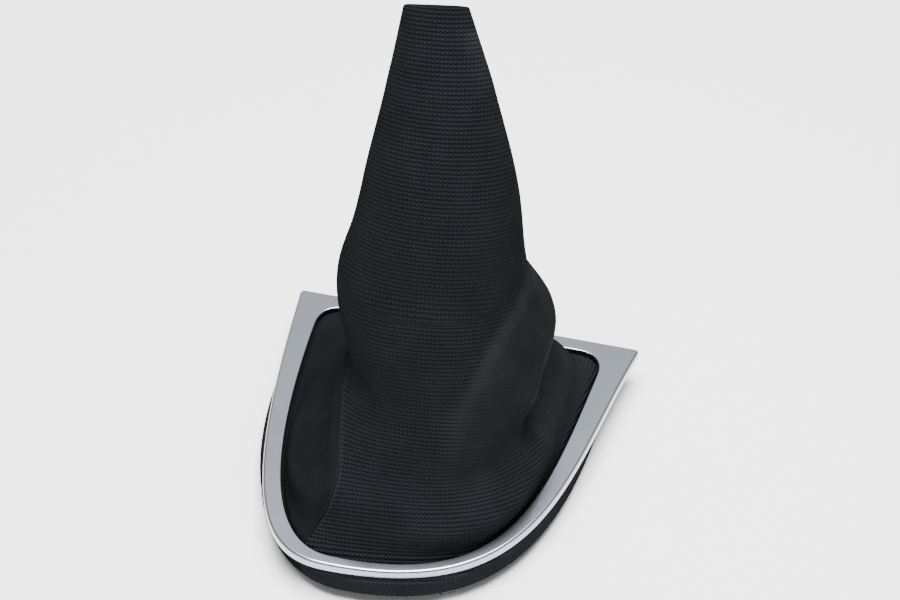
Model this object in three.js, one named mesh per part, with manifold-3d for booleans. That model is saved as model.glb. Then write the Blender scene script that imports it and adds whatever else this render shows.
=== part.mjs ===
// Gear lever gaiter: an embossed leatherette sleeve sewn from two panels. Its hem is clamped between
// a satin surround and a black carrier ring, and wraps down over the carrier's outer wall.
// Millimetres, +Z up. +Y points to the straight far edge, and the part stands on the tips of its snap legs.
import * as THREE from 'three';
import { mergeVertices } from 'three/addons/utils/BufferGeometryUtils.js';
import Module from 'manifold-3d';

const wasm = await Module();
wasm.setup();

// Heights above the tips of the snap legs
const faceTop = 20;
const rimWall = 4;
const hemLow = 6.5;
const sleeveTop = 235;

// Surround: outer edge in plan
const overallWidth = 169;
const rimRight = overallWidth / 2;
const rimLeft = overallWidth / 2;
const rimFar = 83.5;
const rimNear = 82.3;
const rimApex = -21.5;
const rimCorner = 3;

// Surround: width of the face at its far edge, near end and two far corners
const faceFar = 8;
const faceNear = 5.7;
const faceRight = 15.8;
const faceLeft = 13.8;
const openingApex = -17.5;
const openingCorner = 14;

// Surround: section
const skin = 2.2;
const outerWall = 1.6;
const innerLip = 1.4;
const fillet = 1.7;
const crown = 0.25;
const filletTurns = [0, 45, 90];

// Hem: outline of the covered carrier in plan, measured from the surround's outer edge
const hemRight = 8.5;
const hemLeft = 6.5;
const hemFar = 0.5;
const hemNear = -1.3;
const hemApex = -14.5;
const hemCorner = 17;

// Leatherette, clearance and carrier
const cloth = 1.2;
const clearance = 0.3;
const carrierWall = 1.8;
const carrierFlange = 2;
const carrierSetback = 1;
const carrierInside = 0.6;
const carrierChamfer = 0.7;
const hemBend = 1.6;
const hemBendMiddle = 0.5;
const lipClearance = 1.2;

// Snap legs and stakes of the surround
const legWidth = 7;
const legThickness = 1.8;
const legHook = 1;
const legHookHeight = 3;
const legAngles = [-66, 8, 62, 118, 166, 212];
const stakeRadius = 1.1;
const stakeSides = 8;
const stakeHead = 1.6;
const stakeHeadHeight = 1.2;
const stakeSetback = 2.2;
const stakeAngles = [-25, 28, 47, 90, 133, 151, 190];

// Sleeve: seams, allowances and folded top edge
const seamNearLeft = 247;
const seamFarRight = 68;
const seamTurn = 57;
const seamTurnLow = 34;
const seamTurnHigh = 106;
const seamPull = 0.7;
const seamAllowance = 4;
const topFold = 10;
const topFoldBend = 4;
const mouthTilt = 4.8;
const mouthRoll = 1.7;
const footInset = 1.8;
const footDrop = 2;

// Sleeve: its mouth in plan
const mouthWidth = 25.6;
const mouthDepth = 14;
const mouthX = -1.1;
const mouthY = 35;

// Sleeve sections on the way up from the opening to the mouth: height as a share of the sleeve's, then how
// far each side has come from the opening's reach to the mouth's, and how square the section is
const sections = [
  { height: 0.0465, left: 0.259, right: 0.17, near: 0.1013, far: 0.134, square: 2.6 },
  { height: 0.107, left: 0.479, right: 0.346, near: 0.1874, far: 0.254, square: 2.35 },
  { height: 0.2, left: 0.655, right: 0.389, near: 0.283, far: 0.343, square: 2.3 },
  { height: 0.3163, left: 0.69, right: 0.425, near: 0.3786, far: 0.433, square: 2.3 },
  { height: 0.4558, left: 0.658, right: 0.498, near: 0.4933, far: 0.552, square: 2.2 },
  { height: 0.6186, left: 0.738, right: 0.568, near: 0.6272, far: 0.701, square: 2.1 },
  { height: 0.8512, left: 0.901, right: 0.796, near: 0.8566, far: 0.91, square: 2 },
  { height: 1, left: 1, right: 1, near: 1, far: 1, square: 2.2 },
];

const degrees = Math.PI / 180;
const mix = THREE.MathUtils.lerp;
const ramp = THREE.MathUtils.smoothstep;
const turnTo = (angle, centre) => THREE.MathUtils.euclideanModulo(angle - centre + 180, 360) - 180;

// A closed plan outline, counterclockwise from the right end of the straight far edge.
// The far edge has two round corners, and one curve on each side runs on to the near end's lowest point.
const farSteps = 6;
const cornerSteps = 4;
const leftSteps = 18;
const rightSteps = 22;
const columns = farSteps + leftSteps + rightSteps + 2 * cornerSteps;

function outline(shape, density = 1) {
  const depth = shape.far + shape.near;
  const apex = new THREE.Vector2(shape.apex, -shape.near);
  const side = (sign, reach, lean, sideBow, nearBow) => {
    const start = new THREE.Vector2(sign * reach, shape.far - shape.corner);
    const along = new THREE.Vector2(sign * Math.sin(lean * degrees), Math.cos(lean * degrees));
    const tip = start.clone().addScaledVector(along, shape.corner / along.y);
    const end = new THREE.Vector2(tip.x - sign * shape.corner, shape.far);
    const bowA = start.clone().addScaledVector(along, -sideBow * depth);
    const bowB = apex.clone().add(new THREE.Vector2(sign * nearBow * depth, 0));
    return {
      end,
      corner: new THREE.QuadraticBezierCurve(end, tip, start),
      curve: new THREE.CubicBezierCurve(start, bowA, bowB, apex),
    };
  };
  const right = side(1, shape.right, shape.rightLean, shape.rightSide, shape.rightNear);
  const left = side(-1, shape.left, shape.leftLean, shape.leftSide, shape.leftNear);
  const run = (curve, steps) => curve.getSpacedPoints(steps * density).slice(0, -1);
  const back = (curve, steps) => curve.getSpacedPoints(steps * density).reverse().slice(0, -1);
  return [
    ...run(new THREE.LineCurve(right.end, left.end), farSteps),
    ...run(left.corner, cornerSteps),
    ...run(left.curve, leftSteps),
    ...back(right.curve, rightSteps),
    ...back(right.corner, cornerSteps),
  ];
}

const rimShape = {
  right: rimRight,
  left: rimLeft,
  far: rimFar,
  near: rimNear,
  apex: rimApex,
  corner: rimCorner,
  rightLean: 11,
  rightSide: 0.527,
  rightNear: 0.597,
  leftLean: 6,
  leftSide: 0.86,
  leftNear: 0.167,
};
const openingShape = {
  right: rimRight - faceRight,
  left: rimLeft - faceLeft,
  far: rimFar - faceFar,
  near: rimNear - faceNear,
  apex: openingApex,
  corner: openingCorner,
  rightLean: 4.6,
  rightSide: 0.568,
  rightNear: 0.505,
  leftLean: 3.5,
  leftSide: 0.948,
  leftNear: 0.056,
};
const hemShape = {
  right: rimRight - hemRight,
  left: rimLeft - hemLeft,
  far: rimFar - hemFar,
  near: rimNear - hemNear,
  apex: hemApex,
  corner: hemCorner,
  rightLean: 2,
  rightSide: 0.431,
  rightNear: 0.51,
  leftLean: -4.3,
  leftSide: 0.542,
  leftNear: 0.23,
};

// Moves each point of a counterclockwise outline inwards along its normal.
function inset(ring, distance) {
  return ring.map((point, i) => {
    const before = ring[(i + ring.length - 1) % ring.length];
    const after = ring[(i + 1) % ring.length];
    const along = after.clone().sub(before).normalize();
    return new THREE.Vector2(point.x - along.y * distance, point.y + along.x * distance);
  });
}

// The place on an outline at a plan angle, with the direction of its outward normal in degrees.
function placeAt(ring, angle) {
  const ray = new THREE.Vector2(Math.cos(angle * degrees), Math.sin(angle * degrees));
  for (let i = 0; i < ring.length; i += 1) {
    const a = ring[i];
    const b = ring[(i + 1) % ring.length];
    const sideA = ray.cross(a);
    const sideB = ray.cross(b);
    if (sideA <= 0 && sideB > 0 && ray.dot(a) > 0) {
      const point = a.clone().lerp(b, sideA / (sideA - sideB));
      return { point, facing: Math.atan2(a.x - b.x, b.y - a.y) / degrees };
    }
  }
  throw new Error('the outline does not go round its centre');
}

// Builds a geometry from points and triangles, with its faces pointing outwards.
function solidGeometry(points, triangles) {
  let volume = 0;
  for (const [a, b, c] of triangles) {
    volume += points[a].dot(points[b].clone().cross(points[c]));
  }
  const index = triangles.flatMap(([a, b, c]) => (volume > 0 ? [a, b, c] : [a, c, b]));
  const geometry = new THREE.BufferGeometry();
  const flat = points.flatMap((point) => point.toArray());
  geometry.setAttribute('position', new THREE.Float32BufferAttribute(flat, 3));
  geometry.setIndex(index);
  return geometry;
}

// A ring swept round the opening: one closed section of points at each place along its outlines.
function ringGeometry(profile) {
  const stations = profile[0].ring.map((_, i) => (
    profile.map(({ ring, z }) => new THREE.Vector3(ring[i].x, ring[i].y, z))
  ));
  const size = stations[0].length;
  const triangles = [];
  for (let i = 0; i < stations.length; i += 1) {
    const next = (i + 1) % stations.length;
    for (let k = 0; k < size; k += 1) {
      const a = i * size + k;
      const b = i * size + ((k + 1) % size);
      const c = next * size + k;
      const d = next * size + ((k + 1) % size);
      triangles.push([a, b, d], [a, d, c]);
    }
  }
  return solidGeometry(stations.flat(), triangles);
}

// A sheet with thickness: its outer and inner skin are grids of rows, closed along all four edges.
// The left half's diagonals mirror the right half's, so that two sheets match where they meet.
function sheetGeometry(outer, inner) {
  const rows = outer.length;
  const width = outer[0].length;
  const points = [...outer.flat(), ...inner.flat()];
  const at = (skinSide, row, column) => (skinSide * rows + row) * width + column;
  const triangles = [];
  const quad = (a, b, c, d) => triangles.push([a, b, c], [a, c, d]);
  const mirrored = (a, b, c, d) => triangles.push([b, c, d], [b, d, a]);
  for (let r = 0; r < rows - 1; r += 1) {
    for (let c = 0; c < width - 1; c += 1) {
      const face = c < width / 2 ? quad : mirrored;
      face(at(0, r, c), at(0, r, c + 1), at(0, r + 1, c + 1), at(0, r + 1, c));
      face(at(1, r, c + 1), at(1, r, c), at(1, r + 1, c), at(1, r + 1, c + 1));
    }
    quad(at(0, r, 0), at(0, r + 1, 0), at(1, r + 1, 0), at(1, r, 0));
    quad(at(0, r, width - 1), at(1, r, width - 1), at(1, r + 1, width - 1), at(0, r + 1, width - 1));
  }
  for (let c = 0; c < width - 1; c += 1) {
    quad(at(0, 0, c), at(1, 0, c), at(1, 0, c + 1), at(0, 0, c + 1));
    quad(at(0, rows - 1, c), at(0, rows - 1, c + 1), at(1, rows - 1, c + 1), at(1, rows - 1, c));
  }
  return solidGeometry(points, triangles);
}

const weld = 1e-4;

function toSolid(geometry) {
  const bare = geometry.clone();
  bare.deleteAttribute('normal');
  bare.deleteAttribute('uv');
  const merged = mergeVertices(bare, weld);
  const mesh = new wasm.Mesh({
    numProp: 3,
    vertProperties: new Float32Array(merged.attributes.position.array),
    triVerts: new Uint32Array(merged.index.array),
  });
  return new wasm.Manifold(mesh);
}

function toGeometry(solid) {
  const mesh = solid.getMesh();
  const geometry = new THREE.BufferGeometry();
  geometry.setAttribute('position', new THREE.Float32BufferAttribute(mesh.vertProperties, 3));
  geometry.setIndex(new THREE.Uint32BufferAttribute(mesh.triVerts, 1));
  return geometry;
}

// Plan outlines
const rim = outline(rimShape);
const opening = outline(openingShape);
const hem = outline(hemShape);

// Heights and depths that follow from the sizes above
const rimLow = faceTop - rimWall;
const clothTop = rimLow - clearance;
const clothMiddle = clothTop - cloth / 2;
const carrierTop = clothTop - cloth - clearance;
const carrierLow = carrierTop - carrierFlange;
const carrierOuter = cloth + clearance;
const carrierInner = carrierOuter + carrierWall;
const legSetback = carrierInner + clearance + legThickness / 2;

function box(width, depth, low, high, place, offset = 0) {
  const geometry = new THREE.BoxGeometry(depth, width, high - low);
  geometry.translate(offset, 0, (low + high) / 2);
  geometry.rotateZ(place.facing * degrees);
  geometry.translate(place.point.x, place.point.y, 0);
  return geometry;
}

function post(radius, low, high, place) {
  const geometry = new THREE.CylinderGeometry(radius, radius, high - low, stakeSides);
  geometry.rotateX(Math.PI / 2);
  geometry.translate(place.point.x, place.point.y, (low + high) / 2);
  return geometry;
}

const legPlaces = legAngles.map((angle) => placeAt(inset(hem, legSetback), angle));
const stakePlaces = stakeAngles.map((angle) => placeAt(inset(opening, -stakeSetback), angle));

// Clearance slots for the legs and holes for the stakes, through whatever lies under the surround.
function cutFixings(solid) {
  let cut = solid;
  for (const place of legPlaces) {
    const width = legWidth + 2 * clearance;
    const depth = legThickness + 2 * clearance;
    cut = cut.subtract(toSolid(box(width, depth, 0, faceTop, place)));
  }
  for (const place of stakePlaces) {
    cut = cut.subtract(toSolid(post(stakeRadius + clearance, 0, faceTop, place)));
  }
  return cut;
}

// The surround: a moulded ring with a crowned face, an outer wall, an inner lip, snap legs and stakes.
function surround() {
  const density = 2;
  const outer = outline(rimShape, density);
  const inner = outline(openingShape, density);
  const fromOuter = (distance) => inset(outer, distance);
  const fromInner = (distance) => inset(inner, -distance);
  const outerFillet = filletTurns.map((angle) => ({
    ring: fromOuter(fillet * (1 - Math.cos(angle * degrees))),
    z: faceTop - crown - fillet + fillet * Math.sin(angle * degrees),
  }));
  const lipFillet = innerLip / 2;
  const innerFillet = filletTurns.map((angle) => ({
    ring: fromInner(lipFillet * (1 - Math.sin(angle * degrees))),
    z: faceTop - crown - lipFillet + lipFillet * Math.cos(angle * degrees),
  }));
  const middle = outer.map((point, i) => point.clone().lerp(inner[i], 0.5));
  const profile = [
    { ring: outer, z: rimLow },
    ...outerFillet,
    { ring: middle, z: faceTop },
    ...innerFillet,
    { ring: inner, z: rimLow },
    { ring: fromInner(innerLip), z: rimLow },
    { ring: fromInner(innerLip), z: faceTop - skin },
    { ring: fromOuter(outerWall), z: faceTop - skin },
    { ring: fromOuter(outerWall), z: rimLow },
  ];
  let solid = toSolid(ringGeometry(profile));
  for (const place of legPlaces) {
    const hookLow = carrierLow - clearance - legHookHeight;
    const leg = toSolid(box(legWidth, legThickness, 0, faceTop - skin / 2, place));
    const hookDepth = legHook + legThickness / 2;
    const hook = box(legWidth, hookDepth, hookLow, hookLow + legHookHeight, place, -hookDepth / 2);
    solid = solid.add(leg).add(toSolid(hook));
  }
  for (const place of stakePlaces) {
    const headTop = carrierLow - clearance;
    solid = solid.add(toSolid(post(stakeRadius, headTop - stakeHeadHeight / 2, faceTop - skin / 2, place)));
    solid = solid.add(toSolid(post(stakeHead, headTop - stakeHeadHeight, headTop, place)));
  }
  return toGeometry(solid);
}

// The carrier: a flange under the clamped leatherette, with an outer wall that the hem covers.
function carrier() {
  const outer = inset(hem, carrierOuter);
  const wallInside = inset(hem, carrierInner);
  const inside = inset(opening, -carrierInside);
  const profile = [
    { ring: outer, z: hemLow + carrierSetback },
    { ring: outer, z: carrierTop - carrierChamfer },
    { ring: inset(hem, carrierOuter + carrierChamfer), z: carrierTop },
    { ring: inside, z: carrierTop },
    { ring: inside, z: carrierLow },
    { ring: wallInside, z: carrierLow },
    { ring: wallInside, z: hemLow + carrierSetback },
  ];
  return toGeometry(cutFixings(toSolid(ringGeometry(profile))));
}

// Folds of the sleeve. Angles are degrees counterclockwise from +X, and a fold moves the leatherette
// outwards, away from the middle of its own section.
const hump = (distance, width) => Math.exp(-((distance / width) ** 2));
const band = (z, { low, rise, high, fade }) => ramp(z, low, low + rise) * (1 - ramp(z, high - fade, high));
const seamAngle = (z) => seamNearLeft - seamTurn * ramp(z, seamTurnLow, seamTurnHigh);

// Left: the sleeve bulges over a crease, and below it the seam stands out as a ridge beside a hollow.
const leftBulge = { angle: 190, height: 107, spread: 55, tall: 20, depth: 6 };
const leftCrease = { angle: 190, height: 73, spread: 38, tall: 6, depth: 7 };
const seamRidge = { low: 26, rise: 18, high: 76, fade: 14, width: 13, crest: 0.25, depth: 5.5 };
const seamHollow = { low: 30, rise: 15, high: 80, fade: 15, beside: 32, width: 22, depth: 0.7 };

const pillow = (angle, z, fold) => fold.depth * hump(turnTo(angle, fold.angle), fold.spread)
  * hump(z - fold.height, fold.tall);

function leftFolds(angle, z) {
  const fromSeam = turnTo(angle, seamAngle(z));
  const crest = Math.exp(seamRidge.crest - Math.hypot(fromSeam / seamRidge.width, seamRidge.crest));
  const ridge = seamRidge.depth * crest * band(z, seamRidge);
  const beside = hump(fromSeam + seamHollow.beside, seamHollow.width);
  const hollow = seamHollow.depth * beside * band(z, seamHollow);
  return pillow(angle, z, leftBulge) - pillow(angle, z, leftCrease) + ridge - hollow;
}

// Right: the sleeve leans out below a slanting edge, hangs over a fold line that drops towards the near
// side, tucks in under it, and flares out again to the opening's far right corner.
const rightFold = { low: 51, rise: 22, from: -30, to: 45 };
const rightEdge = { height: 112, nearDrop: 32, nearFrom: -32, nearTo: -80, farDrop: 10, farTo: 22 };
const rightLean = { depth: 12.5, power: 1.25, nearFrom: -95, nearTo: -50, nearShare: 0.5, from: -5, to: 32 };
const rightCrest = { start: -0.1, sharp: 0.12, softer: 0.5, from: -55, to: -10 };
const tuckReach = { nearFrom: -65, nearTo: -25, nearShare: 0.4, from: -25, to: 5 };
const rightTuck = { depth: 5, below: 8, tall: 7 };
const rightFade = { from: 55, to: 110 };
const rightFlare = { low: 20, rise: 8, high: 66, fade: 18, angle: 52, spread: 18, depth: 11 };

const stepped = (a, { nearFrom, nearTo, nearShare, from, to }) => (
  mix(ramp(a, from, to), ramp(a, nearFrom, nearTo), nearShare)
);
const rightFoldLine = (a) => rightFold.low + rightFold.rise * ramp(a, rightFold.from, rightFold.to);

function rightFolds(angle, z) {
  const a = turnTo(angle, 0);
  const foldLine = rightFoldLine(a);
  const edgeLine = rightEdge.height - rightEdge.farDrop * ramp(a, 0, rightEdge.farTo)
    - rightEdge.nearDrop * ramp(-a, -rightEdge.nearFrom, -rightEdge.nearTo);
  const fade = 1 - ramp(a, rightFade.from, rightFade.to);
  const reach = stepped(a, rightLean);
  const crest = rightCrest.sharp + rightCrest.softer * (1 - ramp(a, rightCrest.from, rightCrest.to));
  const t = (z - foldLine) / (edgeLine - foldLine);
  const slope = Math.max(0, 1 - t) ** rightLean.power;
  const lean = rightLean.depth * reach * slope * ramp(t, rightCrest.start, crest);
  const tuck = rightTuck.depth * stepped(a, tuckReach) * hump(z - foldLine + rightTuck.below, rightTuck.tall);
  const flare = rightFlare.depth * hump(a - rightFlare.angle, rightFlare.spread) * band(z, rightFlare);
  return fade * (lean - tuck) + flare;
}

// Far side: the same bulge and crease as on the left, only shallower.
const farBulge = { angle: 115, height: 98, spread: 45, tall: 18, depth: 3 };
const farCrease = { angle: 115, height: 74, spread: 40, tall: 7, depth: 3.5 };
const farFolds = (angle, z) => pillow(angle, z, farBulge) - pillow(angle, z, farCrease);

const sleeveLow = faceTop - footDrop;

// On the right the rows slant with the fold line.
const slantReach = { nearFrom: -100, nearTo: -40, farFrom: 60, farTo: 120 };

function slant(angle, z) {
  const a = turnTo(angle, 0);
  const reach = ramp(a, slantReach.nearFrom, slantReach.nearTo)
    * (1 - ramp(a, slantReach.farFrom, slantReach.farTo));
  const middle = rightFold.low + rightFold.rise / 2;
  const fade = ramp(z, sleeveLow, middle) * (1 - ramp(z, middle, 2 * middle - sleeveLow));
  return (rightFoldLine(a) - middle) * reach * fade;
}

// Heights of the sleeve's rows, closer together where the folds are
const skirtTop = 42;
const foldTop = 116;
const skirtRows = 4;
const foldRows = 15;
const coneRows = 7;

function rowHeights() {
  const heights = [];
  const addRows = (low, high, count) => {
    for (let i = 0; i < count; i += 1) {
      heights.push(mix(low, high, i / count));
    }
  };
  addRows(sleeveLow, skirtTop, skirtRows);
  addRows(skirtTop, foldTop, foldRows);
  addRows(foldTop, sleeveTop - topFold, coneRows);
  return [...heights, sleeveTop - topFold, sleeveTop - topFold + topFoldBend, sleeveTop];
}

// Middle surface of the sleeve: a smooth loft from the opening's outline through the sections.
function sleeveRows() {
  const foot = inset(opening, footInset);
  const mouth = {
    left: mouthWidth / 2 - mouthX,
    right: mouthWidth / 2 + mouthX,
    near: mouthDepth / 2 - mouthY,
    far: mouthDepth / 2 + mouthY,
  };
  const reachOf = (share) => {
    const [left, right, near, far] = ['left', 'right', 'near', 'far'].map((side) => (
      mix(openingShape[side], mouth[side], share[side])
    ));
    return {
      middleX: (right - left) / 2,
      middleY: (far - near) / 2,
      halfX: (right + left) / 2,
      halfY: (far + near) / 2,
    };
  };
  const whole = reachOf({ left: 0, right: 0, near: 0, far: 0 });
  const heightOf = (section) => mix(faceTop, sleeveTop, section.height);
  const lofts = foot.map((point) => {
    const across = (point.x - whole.middleX) / whole.halfX;
    const base = Math.atan2((point.y - whole.middleY) / whole.halfY, across) / degrees;
    const places = sections.map((section) => {
      const z = heightOf(section);
      const pull = Math.cos(Math.min(90, Math.abs(turnTo(base, seamNearLeft)) * seamPull) * degrees) ** 2;
      const angle = (base - pull * (seamNearLeft - seamAngle(z))) * degrees;
      const cos = Math.cos(angle);
      const sin = Math.sin(angle);
      const { square } = section;
      const away = (Math.abs(cos) ** square + Math.abs(sin) ** square) ** (-1 / square);
      const { middleX, middleY, halfX, halfY } = reachOf(section);
      return new THREE.Vector3(middleX + halfX * away * cos, middleY + halfY * away * sin, z);
    });
    return new THREE.CatmullRomCurve3([new THREE.Vector3(point.x, point.y, sleeveLow), ...places]);
  });
  const sectionHeights = [sleeveLow, ...sections.map(heightOf)];
  const atHeight = (curve, z) => {
    let i = 0;
    while (i < sectionHeights.length - 2 && z > sectionHeights[i + 1]) {
      i += 1;
    }
    const share = (z - sectionHeights[i]) / (sectionHeights[i + 1] - sectionHeights[i]);
    return curve.getPoint((i + share) / (sectionHeights.length - 1)).setZ(z);
  };
  return rowHeights().map((z) => {
    const ring = lofts.map((curve) => atHeight(curve, z));
    const middle = middleOf(ring);
    const slanted = lofts.map((curve, i) => atHeight(curve, z + slant(headingFrom(middle, ring[i]), z)));
    return foldRow(slanted, middle, z);
  });
}

function middleOf(ring) {
  const middle = new THREE.Vector3();
  ring.forEach((point) => middle.addScaledVector(point, 1 / ring.length));
  return middle;
}

const headingFrom = (middle, point) => Math.atan2(point.y - middle.y, point.x - middle.x) / degrees;

// Moves each point by the folds, and tilts the rows towards the mouth, highest at its near right side.
function foldRow(ring, middle, height) {
  const share = ramp(height, sleeveTop / 2, sleeveTop);
  const spanOf = (values) => ({ low: Math.min(...values), high: Math.max(...values) });
  const spanX = spanOf(ring.map((point) => point.x));
  const spanY = spanOf(ring.map((point) => point.y));
  const along = (value, span) => 2 * (value - span.low) / (span.high - span.low) - 1;
  return ring.map((point) => {
    const away = point.clone().sub(middle).setZ(0).normalize();
    const angle = headingFrom(middle, point);
    const fold = leftFolds(angle, point.z) + rightFolds(angle, point.z) + farFolds(angle, point.z);
    const moved = point.clone().addScaledVector(away, fold);
    moved.z += share * (mouthRoll * along(point.x, spanX) - mouthTilt * along(point.y, spanY));
    return moved;
  });
}

// Middle surface of the hem: up over the carrier's wall, in over its flange and up inside the opening.
function hemRows() {
  const level = (ring, z) => ring.map((point) => new THREE.Vector3(point.x, point.y, z));
  const outside = inset(hem, cloth / 2);
  const turned = inset(hem, cloth / 2 + hemBend);
  const lip = inset(opening, -hemBend);
  const across = turned.map((point, i) => point.clone().lerp(lip[i], 0.5));
  return [
    level(outside, hemLow),
    level(outside, mix(hemLow, clothMiddle, 0.5)),
    level(outside, clothMiddle - hemBend),
    level(inset(hem, cloth / 2 + hemBendMiddle), clothMiddle - hemBendMiddle),
    level(turned, clothMiddle),
    level(across, clothMiddle),
    level(lip, clothMiddle),
    level(inset(opening, lipClearance), clothMiddle + clearance),
  ];
}

const middleRows = [...hemRows(), ...sleeveRows()];
const firstSleeveRow = middleRows.length - rowHeights().length;

// Unit normal of the middle surface, pointing out of the sleeve and up out of the clamped hem.
function normalAt(row, column) {
  const count = columns;
  const above = middleRows[Math.min(row + 1, middleRows.length - 1)][column];
  const below = middleRows[Math.max(row - 1, 0)][column];
  const after = middleRows[row][(column + 1) % count];
  const before = middleRows[row][(column + count - 1) % count];
  const up = above.clone().sub(below);
  const point = middleRows[row][column];
  const along = after.clone().sub(point).normalize().add(point.clone().sub(before).normalize());
  return along.cross(up).normalize();
}

// The column nearest to an angle round the hem, where a seam runs.
function seamColumn(angle) {
  const off = hem.map((point) => Math.abs(turnTo(Math.atan2(point.y, point.x) / degrees, angle)));
  return off.indexOf(Math.min(...off));
}

// Rows at the foot without seam allowances, and rows of the folded top edge
const footRows = 1;
const foldedRows = 3;

// One panel of the sleeve, from one seam to the next. Its edges turn inwards as seam allowances above
// the opening, and its top edge is folded in, which makes it twice as thick there.
function panel(first, last) {
  const span = (last - first + columns) % columns;
  const outer = [];
  const inner = [];
  middleRows.forEach((row, r) => {
    const height = row[first].z;
    const folded = r >= middleRows.length - foldedRows;
    const doubled = r > middleRows.length - foldedRows;
    const inward = doubled ? cloth + cloth / 2 : cloth / 2;
    const allowance = mix(seamAllowance, cloth, ramp(height, foldTop, sleeveTop - topFold));
    const turned = r - firstSleeveRow > footRows && !folded;
    const outerRow = [];
    const innerRow = [];
    for (let k = 0; k <= span; k += 1) {
      const column = (first + k) % columns;
      const normal = normalAt(r, column);
      const point = row[column];
      const outside = point.clone().addScaledVector(normal, cloth / 2);
      const inside = point.clone().addScaledVector(normal, -inward);
      if (k > 0 && k < span) {
        outerRow.push(outside);
        innerRow.push(inside);
        continue;
      }
      const step = k === 0 ? 1 : -1;
      const neighbour = row[(column + step + columns) % columns];
      const along = neighbour.clone().sub(point).normalize();
      const face = clearance / 2;
      const depth = turned ? inward + allowance : inward;
      const backOff = turned ? face + cloth : face + cloth / 2;
      const edge = outside.clone().addScaledVector(along, face);
      const heel = inside.clone().addScaledVector(along, backOff);
      const endOuter = point.clone().addScaledVector(along, face)
        .addScaledVector(normal, turned ? -depth : 0);
      const endInner = point.clone().addScaledVector(along, turned ? backOff : face)
        .addScaledVector(normal, -depth);
      const outerPair = k === 0 ? [endOuter, edge] : [edge, endOuter];
      const innerPair = k === 0 ? [endInner, heel] : [heel, endInner];
      outerRow.push(...outerPair);
      innerRow.push(...innerPair);
    }
    outer.push(outerRow);
    inner.push(innerRow);
  });
  return toGeometry(cutFixings(toSolid(sheetGeometry(outer, inner))));
}

function part(name, geometry, color, roughness, metalness) {
  const shown = geometry.toNonIndexed();
  shown.computeVertexNormals();
  const material = new THREE.MeshStandardMaterial({ color, roughness, metalness });
  const mesh = new THREE.Mesh(shown, material);
  mesh.name = name;
  return mesh;
}

const leftSeam = seamColumn(seamNearLeft);
const rightSeam = seamColumn(seamFarRight);

const group = new THREE.Group();
group.add(part('surround', surround(), 0xa6adb5, 0.38, 0.6));
group.add(part('carrier_ring', carrier(), 0x17181a, 0.6, 0));
group.add(part('main_panel', panel(leftSeam, rightSeam), 0x26282c, 0.55, 0));
group.add(part('side_panel', panel(rightSeam, leftSeam), 0x26272a, 0.6, 0));

export default group;
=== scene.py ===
# Gear lever gaiter: two leatherette panels sewn to a sleeve, a satin surround and a black carrier ring.
# Lengths in the shape code are millimetres, and meshes are written in metres, in the frame's own place.
# Headings are degrees in plan: 0 is the right side, 90 the far side, 180 the left and 270 the near side.
import math
from collections import namedtuple

import bpy
import numpy as np
from mathutils import Matrix, Vector


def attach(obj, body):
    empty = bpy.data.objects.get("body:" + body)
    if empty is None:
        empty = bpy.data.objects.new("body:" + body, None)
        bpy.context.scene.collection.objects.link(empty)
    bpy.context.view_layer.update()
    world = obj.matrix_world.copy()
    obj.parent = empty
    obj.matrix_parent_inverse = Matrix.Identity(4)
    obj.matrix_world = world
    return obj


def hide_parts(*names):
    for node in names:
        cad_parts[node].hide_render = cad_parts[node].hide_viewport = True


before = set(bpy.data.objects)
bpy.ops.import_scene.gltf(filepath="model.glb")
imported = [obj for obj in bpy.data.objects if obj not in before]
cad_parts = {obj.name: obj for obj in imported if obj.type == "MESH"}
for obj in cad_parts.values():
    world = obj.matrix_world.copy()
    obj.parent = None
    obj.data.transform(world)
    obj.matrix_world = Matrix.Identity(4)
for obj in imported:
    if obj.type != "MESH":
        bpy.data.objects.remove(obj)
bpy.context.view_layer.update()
MM = 0.001

# Camera, fitted to the surround's outline in the photograph
AZIMUTH, ELEVATION, ROLL = (math.radians(a) for a in (15.0, 42.6, -0.2))
EYE = Vector((0.18581, -0.64283, 0.72154))
HALF_VIEW = math.radians(12)


def add_camera():
    back = Vector((math.sin(AZIMUTH) * math.cos(ELEVATION),
                   -math.cos(AZIMUTH) * math.cos(ELEVATION), math.sin(ELEVATION)))
    flat_right = Vector((math.cos(AZIMUTH), math.sin(AZIMUTH), 0))
    flat_up = back.cross(flat_right)
    right = flat_right * math.cos(ROLL) + flat_up * math.sin(ROLL)
    up = flat_up * math.cos(ROLL) - flat_right * math.sin(ROLL)
    data = bpy.data.cameras.new("camera")
    data.sensor_width = 36
    data.lens = data.sensor_width / 2 / math.tan(HALF_VIEW)
    data.clip_start, data.clip_end = 0.05, 20
    camera = bpy.data.objects.new("camera", data)
    bpy.context.scene.collection.objects.link(camera)
    turn = Matrix((right, up, back)).transposed().to_4x4()
    camera.matrix_world = Matrix.Translation(EYE) @ turn
    bpy.context.scene.camera = camera


add_camera()

# Sizes, as in the CAD
FACE_TOP, RIM_WALL, HEM_LOW, SLEEVE_TOP = 20, 4, 6.5, 235
SKIN, OUTER_WALL, INNER_LIP = 2.2, 1.6, 1.4
CLOTH, CLEARANCE, CARRIER_FLANGE, CARRIER_WALL = 1.2, 0.3, 2, 1.8
RIM_LOW = FACE_TOP - RIM_WALL
CLOTH_TOP = RIM_LOW - CLEARANCE
CLOTH_MIDDLE = CLOTH_TOP - CLOTH / 2
CARRIER_LOW = CLOTH_TOP - CLOTH - CLEARANCE - CARRIER_FLANGE
SLEEVE_LOW = FACE_TOP - 2
TOP_FOLD = 10
MOUTH_TILT, MOUTH_ROLL = 4.8, 0.35
LEG_ANGLES = (-66, 8, 62, 118, 166, 212)
STAKE_ANGLES = (-25, 28, 47, 90, 133, 151, 190)
LEG_WIDTH, LEG_THICKNESS, LEG_HOOK, LEG_HOOK_HEIGHT = 7, 1.8, 1, 3
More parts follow.
